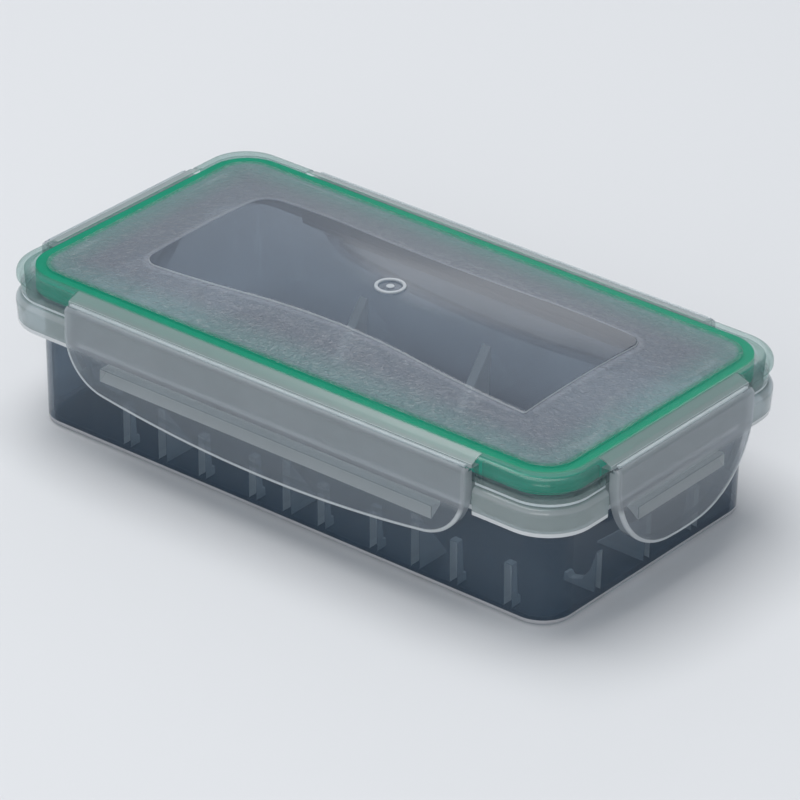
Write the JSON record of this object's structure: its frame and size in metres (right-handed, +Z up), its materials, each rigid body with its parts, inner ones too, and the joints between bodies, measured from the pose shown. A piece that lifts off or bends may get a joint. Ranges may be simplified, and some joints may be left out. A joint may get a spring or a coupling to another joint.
{
  "type": "clip-lid battery storage case",
  "caption": "Flat translucent storage case with ribbed cell compartments, a domed lid with a seal ring, and flap clips on all sides.",
  "frame": {"origin": "middle of the flat underside, on the surface that the case stands on", "axes": "+X along the long side, +Y from the front to the back, +Z up"},
  "size_m": [0.1784, 0.0976, 0.048],
  "materials": {
    "clear_body": "smooth translucent polypropylene, colourless with a cool cast",
    "frosted_lid": "translucent polypropylene with a fine leathery grain outside its clear window",
    "frosted_clip": "smooth milky translucent polypropylene with bright edges",
    "hinge_film": "thin bright translucent polypropylene",
    "green_seal": "satin silicone rubber, saturated green"
  },
  "bodies": {
    "base": {"container": "clear_body"},
    "lid": {"lid": "frosted_lid", "seal_ring": "green_seal", "hinge_strip_front": "hinge_film", "hinge_strip_back": "hinge_film", "hinge_strip_left": "hinge_film", "hinge_strip_right": "hinge_film"},
    "clip_front": {"clip_front": "frosted_clip"},
    "clip_back": {"clip_back": "frosted_clip"},
    "clip_left": {"clip_left": "frosted_clip"},
    "clip_right": {"clip_right": "frosted_clip"}
  },
  "joints": [
    {"name": "lid_lift", "type": "slide", "parent": "base", "child": "lid", "axis": [0, 0, 1], "range_m": [0, 0.08]},
    {"name": "clip_front_hinge", "type": "hinge", "parent": "lid", "child": "clip_front", "pos_m": [0, -0.04733, 0.0406], "axis": [-1, 0, 0], "range_deg": [-8, 160]},
    {"name": "clip_right_hinge", "type": "hinge", "parent": "lid", "child": "clip_right", "pos_m": [0.08773, 0, 0.0406], "axis": [0, -1, 0], "range_deg": [-8, 160]},
    {"name": "clip_back_hinge", "type": "hinge", "parent": "lid", "child": "clip_back", "pos_m": [0, 0.04733, 0.0406], "axis": [1, 0, 0], "range_deg": [-8, 160]},
    {"name": "clip_left_hinge", "type": "hinge", "parent": "lid", "child": "clip_left", "pos_m": [-0.08773, 0, 0.0406], "axis": [0, 1, 0], "range_deg": [-8, 160]}
  ]
}
